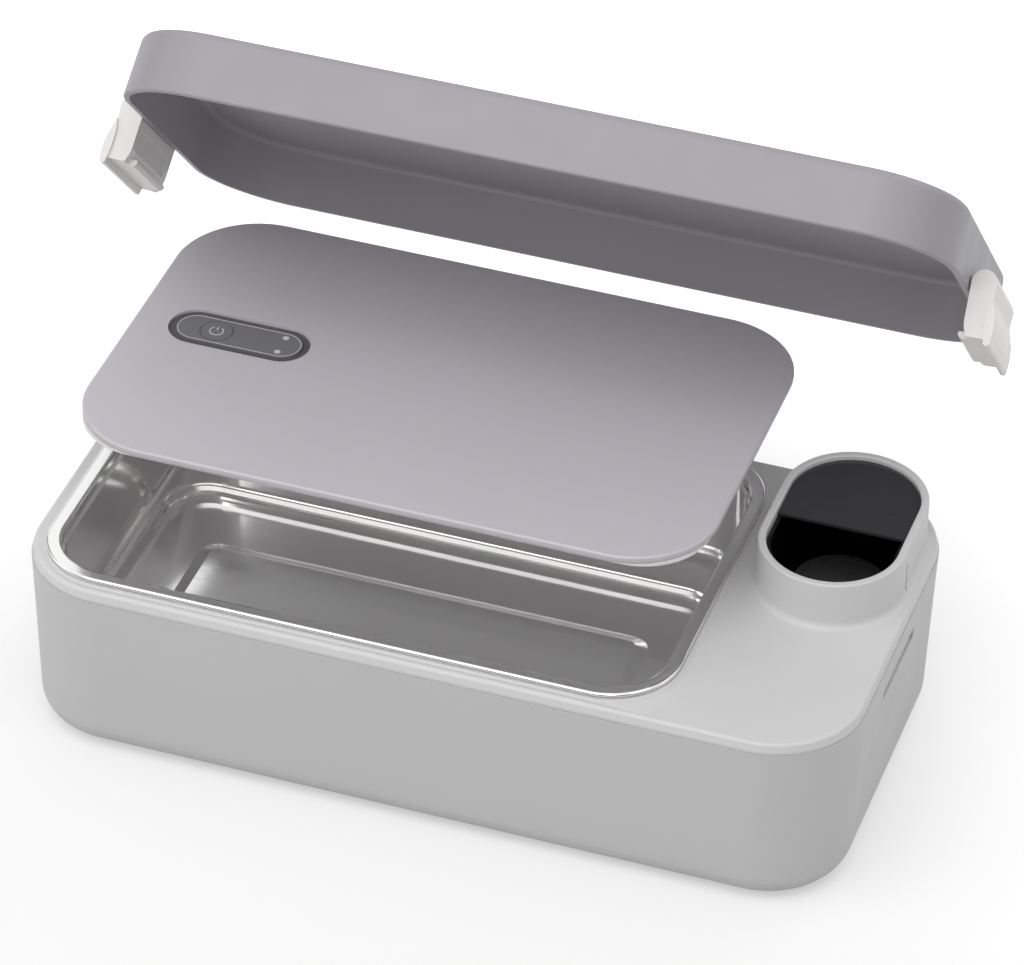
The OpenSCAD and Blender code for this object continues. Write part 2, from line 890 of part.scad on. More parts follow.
// Section of the tray's rim and wall, down to the ledge; the wall's foot is an arc of two radii
module tray_section() {
    t = steel;
    bead = rim_h / 2;
    shoulder_z = tray_top - shoulder_drop;
    lower = -rim_w - shoulder_w;
    cx1 = lower - wall_fillet;
    cx2 = lower - fillet_w;
    cz2 = ledge_z + foot_fillet;
    cz1 = cz2 + (wall_fillet - foot_fillet) * sin(45);
    polygon(concat(
        [[-rim_w + t, tray_top - t], [-2 * bead - 0.4, tray_top - t * 1.1], [-2 * bead, rim_z + 0.2]],
        arc(-bead, rim_z + bead, bead, -120, 90),
        [[-rim_w + t, tray_top - 0.2], [-rim_w + t * 0.3, tray_top - 0.45], [-rim_w, tray_top - 1.1],
         [-rim_w, shoulder_z + 0.5], [lower, shoulder_z - 0.3]],
        arc(cx1, cz1, wall_fillet, 0, -45, 4),
        arc(cx2, cz2, foot_fillet, -60, -90, 2),
        [[cx2, ledge_z - t]],
        arc(cx2, cz2, foot_fillet + t, -75, -60, 1),
        arc(cx1, cz1, wall_fillet + t, -45, 0, 4),
        [[lower + t, shoulder_z - 0.6], [-rim_w + t, shoulder_z + 0.2]]
    ));
}

// Section of the well: a round bead at the ledge, the wall, and the fillet to the floor
module well_section() {
    t = steel;
    bead_z = ledge_z - bead_r;
    fillet_z = tray_z + t + well_fillet;
    in = well_fillet + bite;
    polygon(concat(
        [[bead_r + bite, ledge_z]],
        arc(bead_r, bead_z, bead_r, 90, 180, 4),
        arc(-well_fillet, fillet_z, well_fillet, 0, -90, 5),
        [[-in, tray_z + t], [-in, tray_z]],
        arc(-well_fillet, fillet_z, well_fillet + t, -90, 0, 5),
        arc(bead_r, bead_z, bead_r - t, 180, 90, 4),
        [[bead_r + bite, ledge_z - t]]
    ));
}

// The floor has a raised field with sloping edges
module tray_floor() {
    in = well_fillet;
    s = emboss_slope;
    z = tray_z;
    top = z + emboss_h;
    difference() {
        slab(well_l - 2 * in, well_w - 2 * in, well_r - in, z, z + steel);
        slab(emboss_l - 2, emboss_w - 2, emboss_r - 1, z - over, z + steel + over);
    }
    sweep(emboss_l, emboss_w, emboss_r)
        polygon([
            [0, z], [0, z + steel], [-s, top + steel], [-s - bite, top + steel],
            [-s - bite, top], [-s, top], [-1, z]
        ]);
    slab(emboss_l - 2 * s, emboss_w - 2 * s, emboss_r - s, top, top + steel);
}

module food_tray() {
    ring = fillet_w - bite;
    cut = bead_r + bite / 2;
    color(steel_grey)
        translate([tray_x, 0, 0]) {
            sweep(tray_l, tray_w, tray_r)
                tray_section();
            difference() {
                slab(lower_l - 2 * ring, lower_w - 2 * ring, lower_r - ring, ledge_z - steel, ledge_z);
                slab(
                    well_l + 2 * cut, well_w + 2 * cut, well_r + cut,
                    ledge_z - steel - over, ledge_z + over
                );
            }
            sweep(well_l, well_w, well_r)
                well_section();
            tray_floor();
        }
}

// The panel's own frame: the middle of its recess's floor
module at_panel() {
    shown_inner_lid()
        translate([panel_cx, panel_y, panel_floor])
            children();
}

// Everything of the inner lid is drawn in its seat and then lifted
module inner_lid_panel() {
    b = plate_bevel;
    core = 3;
    color(mauve)
        difference() {
            shown_inner_lid()
                translate([tray_x, 0, plate_z]) {
                    sweep(plate_l, plate_w, plate_r)
                        polygon([
                            [-core - bite, 0], [-b * 0.6, 0], [0, b], [0, plate_t - b * 0.7],
                            [-b * 0.8, plate_t], [-core - bite, plate_t]
                        ]);
                    slab(plate_l - 2 * core, plate_w - 2 * core, plate_r - core, 0, plate_t);
                }
            at_panel() {
                linear_extrude(panel_drop + over)
                    stadium_x(panel_l, panel_w);
                translate([0, 0, -plate_t])
                    linear_extrude(plate_t + over)
                        stadium_x(face_l - 4, face_w - 4);
            }
        }
}

module inner_lid_base() {
    w = pod_wall;
    color(pale_grey)
        shown_inner_lid()
            translate([tray_x, 0, pod_floor - w])
                difference() {
                    slab(pod_l, pod_w, pod_r, 0, pod_h);
                    slab(pod_l - 2 * w, pod_w - 2 * w, pod_r - w, w, pod_h + over);
                }
}

// The gasket lies under the plate and seals on the middle of the tray's rim
module inner_lid_gasket() {
    color(white)
        shown_inner_lid()
            translate([tray_x, 0, plate_z - gasket_t + snug])
                sweep(tray_l, tray_w, tray_r)
                    translate([-(rim_w + gasket_w) / 2, 0])
                        square([gasket_w, gasket_t - 2 * snug]);
}

// Dark floor of the recess, round the raised face
module control_bezel() {
    color(smoke)
        at_panel()
            translate([0, 0, snug])
                difference() {
                    linear_extrude(0.3)
                        stadium_x(panel_l - 2 * snug, panel_w - 2 * snug);
                    translate([0, 0, -over])
                        linear_extrude(0.3 + 2 * over)
                            stadium_x(face_l + 2 * snug, face_w + 2 * snug);
                }
}

module at_lights() {
    for (y = [-1, 1])
        translate([light_dx, y * light_dy, 0])
            children();
}

module control_face() {
    color(panel_grey)
        at_panel()
            difference() {
                translate([0, 0, snug])
                    linear_extrude(face_t)
                        stadium_x(face_l, face_w);
                translate([key_dx, 0, -over])
                    cylinder(r = key_r + key_gap, h = face_t + 2 * over);
                at_lights()
                    translate([0, 0, -over])
                        cylinder(r = light_r + snug, h = face_t + 2 * over);
            }
}

// The key stands just above the face, and its stem reaches down to the dome
module power_key() {
    color(panel_grey)
        at_panel()
            translate([key_dx, 0, 0]) {
                translate([0, 0, key_travel + touch])
                    cylinder(r = key_r, h = face_t - key_travel);
                translate([0, 0, stem_end - panel_floor])
                    cylinder(r = 2, h = panel_floor - stem_end + key_travel + 2 * touch);
            }
}

module key_spring() {
    z0 = lid_board_z + board_t + snug - panel_floor;
    h = stem_end - panel_floor - snug - z0;
    color(steel_grey)
        at_panel()
            translate([key_dx, 0, z0])
                difference() {
                    cylinder(r1 = 2.6, r2 = 1.2, h = h);
                    translate([0, 0, -touch])
                        cylinder(r1 = 2.2, r2 = 0.6, h = h * 0.7);
                }
}

module status_lights() {
    color([0.95, 0.95, 0.9])
        at_panel()
            at_lights() {
                translate([0, 0, snug])
                    cylinder(r = light_r, h = face_t);
                translate([0, 0, -plate_t / 2])
                    cylinder(r = light_lead_r, h = face_t + plate_t / 2);
            }
}

module lid_board() {
    foot = lid_board_z - pod_floor - touch;
    color(board_green)
        shown_inner_lid()
            translate([lid_board_x, panel_y, lid_board_z]) {
                translate([-lid_board_l / 2, -lid_board_w / 2, 0])
                    cube([lid_board_l, lid_board_w, board_t]);
                for (x = [-1, 1], y = [-1, 1])
                    translate([x * (lid_board_l / 2 - 3), y * (lid_board_w / 2 - 3), -foot])
                        cylinder(r = 1.5, h = foot + bite);
            }
}

module lid_cell() {
    color(steel_grey)
        shown_inner_lid()
            translate([lid_board_x + lid_board_l / 2 + cell_r + 6, panel_y, pod_floor + touch])
                cylinder(r = cell_r, h = cell_t);
}

// Section of the outer lid's wall, from the rim up to the top
module lid_section() {
    t = lid_wall;
    r = lid_edge_r;
    zc = lid_h - r;
    polygon(concat(
        [[-t, 0], [-rim_chamfer, 0], [0, rim_chamfer]],
        arc(-lid_draft - r, zc, r, 0, 90),
        [[-lid_draft - r - bite, lid_h], [-lid_draft - r - bite, lid_h - lid_top_t],
         [-lid_draft - t - 1.5, lid_h - lid_top_t], [-lid_draft - t - 0.4, lid_h - lid_top_t - 0.5],
         [-lid_draft - t, lid_h - lid_top_t - 1.5]]
    ));
}

// Two lugs at each end carry the latch's pin
module latch_lugs() {
    for (s = [-1, 1], y = [-1, 1])
        translate([s * case_l / 2, y * lug_y - lug_w / 2, axis_up])
            difference() {
                union() {
                    translate([s * axis_out, 0, 0])
                        rotate([-90, 0, 0])
                            cylinder(r = lug_r, h = lug_w);
                    translate([s > 0 ? -lid_wall / 2 : -axis_out, 0, -lug_t / 2])
                        cube([axis_out + lid_wall / 2, lug_w, lug_t]);
                }
                translate([s * axis_out, -over, 0])
                    rotate([-90, 0, 0])
                        cylinder(r = pin_r + 0.02, h = lug_w + 2 * over);
            }
}

module outer_lid_shell() {
    in = lid_draft + lid_edge_r;
    color(mauve)
        shown_outer_lid() {
            sweep(case_l, case_w, case_r)
                lid_section();
            slab(case_l - 2 * in, case_w - 2 * in, case_r - in, lid_h - lid_top_t, lid_h);
            latch_lugs();
        }
}

// Each pin goes in from the back, and the latch's front end hides it
module latch_pins() {
    color(steel_grey)
        shown_outer_lid()
            for (s = [-1, 1])
                translate([s * (case_l / 2 + axis_out), -latch_w / 2 + 2 * latch_end + seat, axis_up])
                    rotate([-90, 0, 0])
                        cylinder(r = pin_r, h = latch_w - 3 * latch_end - 2 * seat);
}

// Sections of a latch are drawn closed, about its axis: x grows outwards and y is the height
module latch_body_section() {
    low = -axis_up - hook_z - hook_h;
    polygon(concat(
        arc(0, 0, barrel_r, 180, 0, 16),
        [[barrel_r - 0.2, -2.2], [barrel_r - 0.4, -4.4], [barrel_r - 0.4, -6], [barrel_r - 0.2, -9],
         [barrel_r - 0.2, low], [-barrel_r + 1.6, low], [-barrel_r + 1, low + 0.4],
         [-barrel_r + 0.3, low + 2.6], [-barrel_r, low + 4.6]]
    ));
}

// The hook's lower edge is bevelled, so that it slides into the groove
module latch_hook_section() {
    top = -axis_up - hook_z;
    low = top - hook_h;
    tip = -axis_out - hook_reach;
    polygon([
        [0, top], [tip + 0.3, top], [tip, top - 0.3], [tip, low + 0.9], [tip + 0.9, low], [0, low]
    ]);
}

// The outer plate bulges out a little below the barrel and ends in a tab for the finger
module latch_plate_section() {
    foot = -latch_h - axis_up;
    r = barrel_r;
    polygon([
        [r - 0.4, -4.4], [r - 0.1, -6], [r + 0.5, -8], [r + 1, -10], [r + 1.25, -12.2],
        [r + 1.3, -14.5], [r + 1.2, foot + 3], [r + 1, foot + 0.7], [r + 0.5, foot],
        [r - 0.6, foot], [r - 0.9, foot + 0.4], [r - 1.3, foot + 2.6], [r - 1.5, -12],
        [r - 1.4, -8.5], [r - 1, -6]
    ]);
}

// Extrudes a section of the latch along the axis
module latch_extrude(w) {
    rotate([90, 0, 0])
        translate([0, 0, -w / 2])
            linear_extrude(w)
                children();
}

// A shallow pocket in the side that faces the case
module latch_pocket() {
    deep = 0.7;
    border = 2.4;
    h = hook_z - 2 * border;
    translate([-barrel_r + deep - over, -latch_w / 2 + 2 * border, -axis_up - border - h])
        cube([over, latch_w - 4 * border, h]);
}

// The slots in a latch's barrel clear the lid's lugs, and its bore is blind at the front
module latch() {
    translate([case_l / 2 + axis_out, 0, axis_up])
        difference() {
            union() {
                latch_extrude(latch_w - 2 * latch_end)
                    latch_body_section();
                latch_extrude(latch_w)
                    latch_plate_section();
                latch_extrude(latch_w - 2 * hook_in)
                    latch_hook_section();
            }
            latch_pocket();
            for (y = [-1, 1])
                translate([0, y * lug_y - lug_w / 2 - lug_slot, 0]) {
                    rotate([-90, 0, 0])
                        cylinder(r = lug_r + lug_slot, h = lug_w + 2 * lug_slot);
                    translate([-2 * barrel_r, 0, -lug_t / 2 - lug_slot])
                        cube([
                            2 * barrel_r + lug_t / 2 + lug_slot, lug_w + 2 * lug_slot,
                            2 * barrel_r + lug_t / 2
                        ]);
                }
            translate([0, -latch_w / 2 + 2 * latch_end, 0])
                rotate([-90, 0, 0])
                    cylinder(r = pin_r + snug, h = latch_w);
        }
}

// A latch stands open by turning about its pin
module shown_latch() {
    shown_outer_lid()
        translate([case_l / 2 + axis_out, 0, axis_up])
            rotate([0, -latch_open, 0])
                translate([-case_l / 2 - axis_out, 0, -axis_up])
                    latch();
}

module latch_right() {
    color(white)
        shown_latch();
}

module latch_left() {
    color(white)
        mirror([1, 0, 0])
            shown_latch();
}

base_shell();
deck_cover();
deck_screws();
foot_pads();
heating_pan();
tray_seal();
heater_plate();
thermostat();
thermal_fuse();
insulation_pad();
bay_liner();
bay_window();
bay_contact();
battery_cells();
battery_holder();
battery_straps();
power_board();
board_screws();
food_tray();
inner_lid_panel();
inner_lid_base();
inner_lid_gasket();
control_bezel();
control_face();
power_key();
key_spring();
status_lights();
lid_board();
lid_cell();
outer_lid_shell();
latch_pins();
latch_left();
latch_right();
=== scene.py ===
"""Looks of the electric lunch box: finishes, panel marks, studio and camera."""

import json
import math

import bmesh
import bpy
from mathutils import Matrix, Vector


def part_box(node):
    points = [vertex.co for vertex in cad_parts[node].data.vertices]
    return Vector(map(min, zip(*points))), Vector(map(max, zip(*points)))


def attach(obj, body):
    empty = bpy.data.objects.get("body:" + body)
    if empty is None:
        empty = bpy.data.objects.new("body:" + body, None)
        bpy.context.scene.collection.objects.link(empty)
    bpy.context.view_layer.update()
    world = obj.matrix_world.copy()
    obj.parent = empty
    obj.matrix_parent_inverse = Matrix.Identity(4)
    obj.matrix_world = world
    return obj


MM = 0.001

# Camera, solved from the outlines of the case, the tray and the lids in the photograph:
# angles in degrees, lengths in metres, lens and sensor in millimetres
AZIMUTH = 17.97
ELEVATION = 36.95
ROLL = 1.3
DISTANCE = 1.77977
SIDE_SHIFT = 8.74 * MM
RISE = 65.43 * MM
LENS = 203.2
SENSOR = 36
CLIP_END = 20

# Base colours, linear
PALE_GREY = (0.570, 0.562, 0.566)
DECK_GREY = (0.635, 0.627, 0.631)
# The lids' mauve is painted darker than their plastic: painted shade that offsets the light falling
# on the outer lid's front wall
LID_MAUVE_PAINTED_DARKER = (0.322, 0.310, 0.335)
# The plate's mauve is the lids' plastic painted lighter: painted light against the shade the outer
# lid casts on the plate
PLATE_MAUVE_PAINTED_LIGHTER = (0.530, 0.515, 0.551)
LATCH_WHITE = (0.76, 0.746, 0.727)
STEEL = (0.95, 0.945, 0.94)
ALUMINIUM = (0.62, 0.62, 0.63)
SILICONE = (0.74, 0.74, 0.72)
NEAR_BLACK = (0.004, 0.004, 0.0042)
SMOKE = (0.034, 0.034, 0.036)
# The cover's pale grey is partly its own colour and partly painted light: it is lifted so that the
# steel tray mirrors a brighter underside than the little light under the lids gives it
COVER_GREY_PAINTED_LIGHTER = (0.62, 0.61, 0.62)
# A pale grey for the printed marks, also laid on the panel face's bead as a painted highlight
MARK_AND_HIGHLIGHT_GREY = (0.62, 0.62, 0.61)
CONTACT_GREY = (0.06, 0.06, 0.06)
PANEL_GREY = (0.185, 0.181, 0.188)
BEZEL_GREY = (0.105, 0.102, 0.107)

# Noise of the finishes, in cells per metre
PLASTIC_MOTTLE = 22
PLASTIC_PATCHES = 90
PLASTIC_GRAIN = 1400
METAL_MOTTLE = 30
RUBBER_DUST = 240
RUBBER_GRAIN = 1800
FELT_FIBRES = 2600
STRAP_FIBRES = 3600
BOARD_PATCHES = 300

# How far noise varies a colour, as a share of it
FAINT = 0.02
DUSTY = 0.06
FIBROUS = 0.18

# How far noise varies a roughness, each way
UNEVEN_GLOSS = 0.04
UNEVEN_DUST = 0.06

# Roughness of the board's lacquer, from its glossy to its dull patches
BOARD_ROUGH = (0.28, 0.4)

# Depth of relief, in metres
FUZZ = 0.25 * MM
RUBBER_RELIEF = 0.01 * MM

# Grain of brushed and drawn metal: noise cells per metre along x, y and z
EVEN_GRAIN = (900, 900, 900)
DRAWN_ALONG_X = (60, 2600, 2600)

# Section of a printed band: share of the width across, share of the height up
BAND = ((-0.5, 0), (-0.3, 1), (0.3, 1), (0.5, 0))

# What metal mirrors of the studio: brightness against height, from straight down to straight up
MIRRORED = ((0.00, 0.85), (0.48, 1.00), (0.54, 0.28), (0.66, 0.12), (0.76, 1.00), (1.00, 0.90))
AMBIENT = 0.70

# The floor: its own grey, and a glow that the camera sees and metal mirrors a part of. The glow
# grows between two distances, in metres, from a point that lies ahead of the object's middle.
PAPER_GREY = (0.52, 0.52, 0.52, 1)
GLOW_AHEAD = 0.15
GLOW_FROM = 0.12
GLOW_TO = 0.55
GLOW_NEAR = 0.42
GLOW_FAR = 0.9
GLOW_MIRRORED = 0.7
FLOOR_SIDE = 4.0


def new_material(name):
    """An empty node material with its Principled shader and object coordinates."""
    material = bpy.data.materials.new(name)
    material.use_nodes = True
    tree = material.node_tree
    shader = tree.nodes["Principled BSDF"]
    place = tree.nodes.new("ShaderNodeTexCoord")
    return material, tree, shader, place.outputs["Object"]


def noise(tree, place, scale, detail=4.0, stretch=None):
    """Noise in object coordinates, whose scale is in cells per metre; stretch scales each axis."""
    if stretch is not None:
        mapping = tree.nodes.new("ShaderNodeMapping")
        mapping.inputs["Scale"].default_value = stretch
        tree.links.new(place, mapping.inputs["Vector"])
        place = mapping.outputs["Vector"]
    node = tree.nodes.new("ShaderNodeTexNoise")
    node.inputs["Scale"].default_value = scale
    node.inputs["Detail"].default_value = detail
    tree.links.new(place, node.inputs["Vector"])
    return node.outputs["Fac"]


def spread(tree, value, low, high):
    """Maps the middle of a noise onto low to high."""
    node = tree.nodes.new("ShaderNodeMapRange")
    node.inputs["From Min"].default_value = 0.3
    node.inputs["From Max"].default_value = 0.7
    node.inputs["To Min"].default_value = low
    node.inputs["To Max"].default_value = high
    tree.links.new(value, node.inputs["Value"])
    return node.outputs["Result"]


def tint(tree, value, colour, vary):
    """The colour, lighter and darker by a share that follows the noise."""
    node = tree.nodes.new("ShaderNodeMix")
    node.data_type = "RGBA"
    node.inputs["A"].default_value = (*[c * (1 - vary) for c in colour], 1)
    node.inputs["B"].default_value = (*[min(1, c * (1 + vary)) for c in colour], 1)
    tree.links.new(value, node.inputs["Factor"])
    return node.outputs["Result"]


def bump(tree, shader, height, distance):
    """Turns a noise into relief of the given depth, in metres."""
    node = tree.nodes.new("ShaderNodeBump")
    node.inputs["Strength"].default_value = 1.0
    node.inputs["Distance"].default_value = distance
    tree.links.new(height, node.inputs["Height"])
    tree.links.new(node.outputs["Normal"], shader.inputs["Normal"])


def moulded(name, colour, rough, grain=0.012, coat=0.0):
    """Moulded plastic: faint mottling, uneven gloss and a fine grain, whose depth is in mm."""
    material, tree, shader, place = new_material(name)
    mottle = noise(tree, place, PLASTIC_MOTTLE)
    tree.links.new(tint(tree, mottle, colour, FAINT), shader.inputs["Base Color"])
    patches = noise(tree, place, PLASTIC_PATCHES, detail=5)
    gloss = spread(tree, patches, rough - UNEVEN_GLOSS, rough + UNEVEN_GLOSS)
    tree.links.new(gloss, shader.inputs["Roughness"])
    bump(tree, shader, noise(tree, place, PLASTIC_GRAIN, detail=3), grain * MM)
    shader.inputs["IOR"].default_value = 1.5
    shader.inputs["Coat Weight"].default_value = coat
    shader.inputs["Coat Roughness"].default_value = 0.15
    return material


def metal(name, colour, rough, lines=EVEN_GRAIN, line_depth=0.004):
    """Metal with a fine grain or drawn lines, which break up its gloss; line_depth is in mm."""
    material, tree, shader, place = new_material(name)
    shader.inputs["Metallic"].default_value = 1
    mottle = noise(tree, place, METAL_MOTTLE)
    tree.links.new(tint(tree, mottle, colour, FAINT), shader.inputs["Base Color"])
    brushed = noise(tree, place, 1, detail=6, stretch=lines)
    gloss = spread(tree, brushed, rough - UNEVEN_GLOSS, rough + UNEVEN_GLOSS)
    tree.links.new(gloss, shader.inputs["Roughness"])
    bump(tree, shader, brushed, line_depth * MM)
    return material


def felt(name, colour, scale=FELT_FIBRES):
    """Matted fibre or woven band: a rough surface with a fine fuzzy relief."""
    material, tree, shader, place = new_material(name)
    fibres = noise(tree, place, scale, detail=6)
    tree.links.new(tint(tree, fibres, colour, FIBROUS), shader.inputs["Base Color"])
    shader.inputs["Roughness"].default_value = 0.95
    shader.inputs["Sheen Weight"].default_value = 0.25
    bump(tree, shader, fibres, FUZZ)
    return material


def rubber(name, colour, rough, clear=0.0):
    """Soft rubber or silicone with faint dust; clear is the share of light that goes into it."""
    material, tree, shader, place = new_material(name)
    dust = noise(tree, place, RUBBER_DUST, detail=5)
    tree.links.new(tint(tree, dust, colour, DUSTY), shader.inputs["Base Color"])
    gloss = spread(tree, dust, rough - UNEVEN_DUST, rough + UNEVEN_DUST)
    tree.links.new(gloss, shader.inputs["Roughness"])
    shader.inputs["Subsurface Weight"].default_value = clear
    shader.inputs["Subsurface Radius"].default_value = (0.002, 0.002, 0.002)
    bump(tree, shader, noise(tree, place, RUBBER_GRAIN, detail=2), RUBBER_RELIEF)
    return material


def board_material(name):
    """Green solder mask with darker copper tracks under it."""
    material, tree, shader, place = new_material(name)
    brick = tree.nodes.new("ShaderNodeTexBrick")
    brick.inputs["Scale"].default_value = 160
    brick.inputs["Mortar Size"].default_value = 0.03
    brick.inputs["Color1"].default_value = (0.010, 0.115, 0.055, 1)
    brick.inputs["Color2"].default_value = (0.014, 0.140, 0.066, 1)
    brick.inputs["Mortar"].default_value = (0.030, 0.200, 0.100, 1)
    tree.links.new(place, brick.inputs["Vector"])
    tree.links.new(brick.outputs["Color"], shader.inputs["Base Color"])
    gloss = spread(tree, noise(tree, place, BOARD_PATCHES), *BOARD_ROUGH)
    tree.links.new(gloss, shader.inputs["Roughness"])
    return material


def make_materials():
    """One material for each slot of the record."""
    return {
        "shell_plastic": moulded("shell_plastic", PALE_GREY, 0.42),
        "deck_plastic": moulded("deck_plastic", DECK_GREY, 0.40),
        "lid_plastic": moulded("lid_plastic", LID_MAUVE_PAINTED_DARKER, 0.44),
        "cover_plastic": moulded("cover_plastic", COVER_GREY_PAINTED_LIGHTER, 0.5, grain=0.03),
        "latch_plastic": moulded("latch_plastic", LATCH_WHITE, 0.34, grain=0.002),
        "tray_steel": metal("tray_steel", STEEL, 0.13, lines=DRAWN_ALONG_X, line_depth=0.0012),
        "pan_aluminium": metal("pan_aluminium", ALUMINIUM, 0.34, line_depth=0.01),
        "silicone": rubber("silicone", SILICONE, 0.45, clear=0.2),
        "foot_rubber": rubber("foot_rubber", (0.02, 0.02, 0.02), 0.65),
        "black_plastic": moulded("black_plastic", NEAR_BLACK, 0.22, grain=0.004),
        "smoked_window": moulded("smoked_window", SMOKE, 0.12, grain=0.001, coat=0.5),
        "contact_plastic": moulded("contact_plastic", CONTACT_GREY, 0.35),
        "bezel_plastic": moulded("bezel_plastic", BEZEL_GREY, 0.35),
        "panel_plastic": moulded("panel_plastic", PANEL_GREY, 0.32, grain=0.004, coat=0.2),
        # The marks' pale plastic, which also gives the panel bead its painted highlight
        "light_plastic": moulded("light_plastic", MARK_AND_HIGHLIGHT_GREY, 0.2, grain=0.001),
        "heater_film": moulded("heater_film", (0.17, 0.033, 0.006), 0.4),
        "thermostat_metal": metal("thermostat_metal", ALUMINIUM, 0.3),
        "fuse_ceramic": moulded("fuse_ceramic", (0.68, 0.66, 0.6), 0.6),
        "insulation_felt": felt("insulation_felt", (0.62, 0.59, 0.5)),
        "cell_wrap": moulded("cell_wrap", (0.008, 0.04, 0.13), 0.25, coat=0.3),
        "strap_fabric": felt("strap_fabric", (0.008, 0.008, 0.008), STRAP_FIBRES),
        "board_green": board_material("board_green"),
        "screw_steel": metal("screw_steel", (0.5, 0.5, 0.5), 0.3),
        "pin_steel": metal("pin_steel", (0.58, 0.58, 0.58), 0.22, lines=DRAWN_ALONG_X),
        "dome_steel": metal("dome_steel", (0.6, 0.6, 0.58), 0.25),
    }


def dress_plate():
    """The inner lid's plate takes the lids' plastic painted lighter: painted light that makes up
    for the shade the outer lid casts on it.
    """
    plate = frame["nodes"]["inner_lid_panel"]
    plate.data.materials[0] = moulded("plate_plastic_painted_lighter", PLATE_MAUVE_PAINTED_LIGHTER, 0.44)


def dress_nodes(materials):
    """Every CAD node takes the material of its slot."""
    for part in frame["record"]["subparts"]:
        node = frame["nodes"][part["node"]]
        node.data.materials.clear()
        node.data.materials.append(materials[part["material_slot"]])


def link_mesh(name, bm, material, body):
    """Makes a piece of the scene's own from a mesh and lets it ride on a body."""
    mesh = bpy.data.meshes.new(name)
    bm.to_mesh(mesh)
    bm.free()
    mesh.materials.append(material)
    piece = bpy.data.objects.new(name, mesh)
    bpy.context.scene.collection.objects.link(piece)
    for face in mesh.polygons:
        face.use_smooth = True
    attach(piece, body)


def arc_band(bm, centre, radius, width, height, start, end, steps=40):
    """A flat band with a low crown along an arc, from angle start to angle end, in degrees."""
    rows = []
    for i in range(steps + 1):
        a = math.radians(start + (end - start) * i / steps)
        row = []
        for across, up in BAND:
            r = radius + across * width
            point = Vector((r * math.cos(a), r * math.sin(a), up * height))
            row.append(bm.verts.new(centre + point))
        rows.append(row)
    for one, two in zip(rows, rows[1:]):
        for j in range(len(BAND) - 1):
            bm.faces.new((one[j], two[j], two[j + 1], one[j + 1]))
        bm.faces.new((one[-1], two[-1], two[0], one[0]))
    bm.faces.new(rows[0])
    bm.faces.new(rows[-1][::-1])


def straight_band(bm, start, end, width, height):
    """The same band along a straight line."""
    along = (end - start).normalized()
    side = Vector((-along.y, along.x, 0))
    rows = []
    for point in (start, end):
        row = []
        for across, up in BAND:
            offset = side * across * width + Vector((0, 0, up * height))
            row.append(bm.verts.new(point + offset))
        rows.append(row)
    one, two = rows
    for j in range(len(BAND) - 1):
        bm.faces.new((one[j], one[j + 1], two[j + 1], two[j]))
    bm.faces.new((one[-1], one[0], two[0], two[-1]))
    bm.faces.new(one[::-1])
    bm.faces.new(two)


def power_mark(materials):
    """The plain power sign on the key: an open ring with a bar."""
    low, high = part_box("power_key")
    centre = Vector(((low.x + high.x) / 2, (low.y + high.y) / 2, high.z))
    radius = 2.1 * MM
    width = 0.42 * MM
    height = 0.05 * MM
    half_gap = 34
    bar_foot = centre + Vector((0, 0.5 * MM, 0))
    bar_top = centre + Vector((0, 2.5 * MM, 0))
    bm = bmesh.new()
    arc_band(bm, centre, radius, width, height, 90 + half_gap, 450 - half_gap)
    straight_band(bm, bar_foot, bar_top, width, height)
    link_mesh("power_mark", bm, materials["light_plastic"], "key")


def face_highlight_bead(materials):
    """A fine bead round the top edge of the panel's face, in the pale mark plastic: a painted
    highlight that stands in for the light the edge catches.
    """
    low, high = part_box("control_face")
    radius = (high.y - low.y) / 2
    middle = Vector(((low.x + high.x) / 2, (low.y + high.y) / 2, high.z))
    reach = (high.x - low.x) / 2 - radius
    bead = 0.12 * MM
    flat = 0.6
    inset = 0.45 * MM
    steps = 24
    around = 8
    path = []
    for side in (1, -1):
        for i in range(steps + 1):
            a = math.radians(-90 + 180 * i / steps)
            out = Vector((side * math.cos(a), side * math.sin(a), 0))
            path.append((middle + Vector((side * reach, 0, 0)) + out * (radius - inset), out))
    bm = bmesh.new()
    rings = []
    for point, out in path:
        ring = []
        for i in range(around):
            a = 2 * math.pi * i / around
            offset = out * bead * math.cos(a) + Vector((0, 0, bead * flat * math.sin(a)))
            ring.append(bm.verts.new(point + offset))
        rings.append(ring)
    for one, two in zip(rings, rings[1:] + rings[:1]):
        for i in range(around):
            j = (i + 1) % around
            bm.faces.new((one[i], two[i], two[j], one[j]))
    bmesh.ops.recalc_face_normals(bm, faces=bm.faces)
    link_mesh("face_highlight_bead", bm, materials["light_plastic"], "inner_lid")


def area_light(name, place, target, size, power):
    """A rectangular softbox at place that faces target; metres and watts."""
    data = bpy.data.lights.new(name, "AREA")
    data.shape = "RECTANGLE"
    data.size, data.size_y = size
    data.energy = power
    lamp = bpy.data.objects.new(name, data)
    lamp.location = place
    lamp.rotation_euler = (Vector(target) - Vector(place)).to_track_quat("-Z", "Y").to_euler()
    bpy.context.scene.collection.objects.link(lamp)


